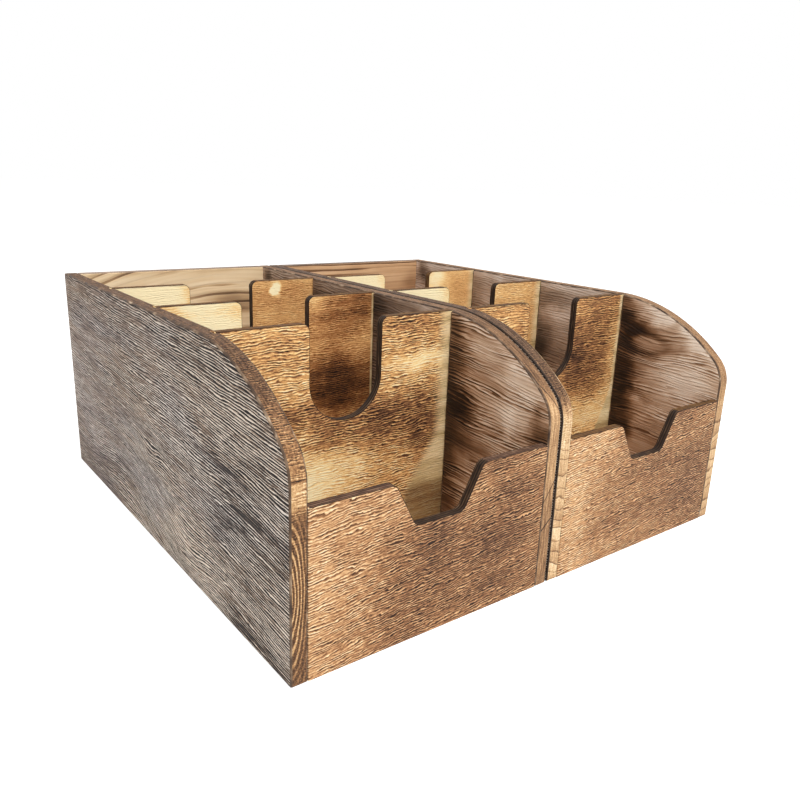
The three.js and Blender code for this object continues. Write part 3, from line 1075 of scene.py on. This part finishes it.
edge_looks = {
    "left_bin_left": dict(burns=(0.80, 0.50, 0.80), streaky=0.20, grey=0.20, rings=(ring_arcs,),
                          wrinkled=0.26, cracks=[(0.0770, 0.0)], sweep_ends=(0.074, 0.104),
                          pale_waist=0.16, colours=GOLDEN_EDGE),
    "left_bin_right": dict(burns=(0.58, 0.44, 0.68), streaky=0.40, grey=0.10,
                           cracks=[(0.0512, 1.6), (0.0330, 0.9), (0.0790, -2.0)],
                           sweep_ends=(0.080, 0.094), foot_ends=(0.050, 0.036)),
    "right_bin_left": dict(burns=(0.30, 0.27, 0.80), streaky=0.30, grey=0.20, wrinkled=0.14,
                           rings=(ring_bars, 0.0052, 0.2), sweep_ends=(0.074, 0.090)),
    "right_bin_right": dict(burns=(0.37, 0.38, 0.58), streaky=0.30, grey=0.15,
                            rings=(ring_bars, 0.0056, -0.3)),
}
EDGES = {f"{side}_side": edge_finish(f"{side}_edge", **look) for side, look in edge_looks.items()}
print("made", len(EDGES), "edge finishes")

# %% scorched and worn roundings
def arris_finish(name, places, hex_codes):
    """The thin rounding between two faces: torch-bitten with worn places, or painted shade."""
    finish = Finish(name)
    wear = finish.cloud(260, 160, 160, detail=3)
    roughness = finish.soft_step(wear, 0.3, 0.7, 0.5, 0.8)
    return finish.paint(finish.ramp(wear, stops(places, hex_codes)), roughness, wear, relief=0.0004)


ARRIS = arris_finish("scorched_arris", (0.32, 0.50, 0.62, 0.74), "33251b 5a4637 8f7862 cdb79e")
WORN_ARRIS = arris_finish("worn_arris", (0.30, 0.44, 0.58, 0.74), "5c4632 a3835e dcbc90 f4dfba")
# The outer rounding that faces the narrow gap between the bins is dark painted shade.
SHADED_GAP_ARRIS = arris_finish("shaded_arris", (0.30, 0.50, 0.74), "17100b 2c1f16 4a3829")
print("made", ARRIS.name, WORN_ARRIS.name, "and", SHADED_GAP_ARRIS.name)

# %% side boards get their five finishes
EDGE_ON = 0.3
EDGE_SLOT = 2
ARRIS_SLOTS = 3


def dress_side(board, outward, *finishes):
    """Faces that point outward, inward, along the edge, slanting outward or inward get a finish each."""
    def slot_of(face):
        facing = face.normal.x * outward
        if abs(facing) <= EDGE_ON:
            return EDGE_SLOT
        slot = 0 if facing > 0 else 1
        return slot if abs(facing) >= FLAT_ON else slot + ARRIS_SLOTS

    dress(board, finishes, slot_of)


for node, board in side_boards.items():
    outward = -1 if node.endswith("left_side") else 1
    inner_arris = WORN_ARRIS if node == "right_bin_left_side" else ARRIS
    outer_arris = SHADED_GAP_ARRIS if node in ("left_bin_right_side", "right_bin_left_side") else ARRIS
    dress_side(board, outward, OUTER, INNER[node], EDGES[node], outer_arris, inner_arris)
print("dressed", len(side_boards), "side boards")

# %% [markdown]
# ## Finish of the backs and bases
# The left back is the palest wood of the object, with slow arches like those of a plain-sawn board. The
# right one is browner, with thin level lines. Their top and outer faces have gone grey like the sides. The
# bases lie in shade and are plain.

# %% backs and bases
BOARD_STOPS = (0.0, 0.3, 0.5, 0.7, 1.0)
PALE_WOOD = stops(BOARD_STOPS, "f2e0c0 dfc49c bf9f78 8d7053 3f2f22")
BROWN_WOOD = stops(BOARD_STOPS, "e6c7a2 cca37a a9805c 7a583e 352317")
BACK_ARCH = (-0.030, 2.2)
# The left back is darker along its top edge and to the right of the rear divider's notch.
BACK_SPOTS = [
    (-70, 116, 90, 8, 0.22), (-36, 98, 26, 6, 0.16), (-28, 91, 34, 10, 0.42), (-50, 104, 12, 3, -0.08),
]
BROWN_BACK_SPOTS = [
    (119, 98, 14, 11, 0.2), (44, 110, 30, 8, -0.08),
]
FACES_BACK = 0.7


def lined_board(name, order, colours, base_burn, lines, pitch, sway=0.001, spots=(), arch=(0.0, 0.0),
                thin=0.5):
    """Wood with thin dark lines, slowly arched or level."""
    finish = Finish(name)
    wood = grain(finish, order, pitch, run=0.06, sway=sway, waver=0.4, arch=arch)
    darkness = finish.total(
        base_burn, soft_spots(finish, finish.place, spots, order[:2]),
        finish.swing(wood.bands, 0.18),
        finish.soft_step(wood.ridges, thin, 1.0, 0.0, lines),
        finish.swing(wood.hairs, 0.20),
        finish.swing(blotches(finish, 0.02), 0.10),
    )
    return finish.paint(finish.ramp(darkness, colours), *ridged(finish, wood), relief=0.0001)


def back_slot(face):
    """The slot of the inner face, the outer face or the narrow edges of a back."""
    if abs(face.normal.y) <= FACES_BACK:
        return 2
    return 0 if face.normal.y < 0 else 1


back_finishes = {
    "left_bin_back": lined_board("left_bin_pale_back", "XZY", PALE_WOOD, base_burn=0.24, lines=0.34,
                                 pitch=0.0060, spots=BACK_SPOTS, arch=BACK_ARCH, thin=0.75),
    "right_bin_back": lined_board("right_bin_brown_back", "XZY", BROWN_WOOD, base_burn=0.32, lines=0.50,
                                  pitch=0.0032, spots=BROWN_BACK_SPOTS),
}
BACK_TOP = lined_board("greyed_back_top", "XYZ", WARM_GREY, base_burn=0.44, lines=0.34, pitch=0.0024)
BASE = lined_board("pale_base", "XYZ", PALE_WOOD, base_burn=0.46, lines=0.14, pitch=0.0060, sway=0.010)
for node, board in backs.items():
    dress(board, (back_finishes[node], BACK_OUTER, BACK_TOP), back_slot)
for board in bases.values():
    board.data.materials.append(BASE)
print("made", len(back_finishes), "backs,", BACK_TOP.name, "and", BASE.name)

# %% [markdown]
# ## Pins
# Headless steel pins hold the panels together. They are sunk in the wood and nobody sees them, so the CAD
# solids stay, but they get a real steel finish in case someone takes a panel away.

# %% steel of the pins
def pin_steel(name):
    """Drawn wire with a fine tooth and a little tarnish."""
    finish = Finish(name)
    tooth = finish.cloud(3000)
    tarnish = finish.cloud(400, detail=3)
    colour = finish.ramp(tarnish, stops((0.3, 0.5, 0.7), "6e6964 9a9792 b9b6b1"))
    roughness = finish.soft_step(tooth, 0.3, 0.7, 0.25, 0.5)
    finish.shader.inputs["Metallic"].default_value = 1.0
    return finish.paint(colour, roughness, tooth, relief=0.00005)


STEEL = pin_steel("pin_steel")
pins = [o for name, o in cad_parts.items() if "_pin_" in name]
for pin in pins:
    pin.data.materials.clear()
    pin.data.materials.append(STEEL)
print("pins with the steel finish:", len(pins))

# %% [markdown]
# ## Size
# Dressing the frame doesn't change its size.
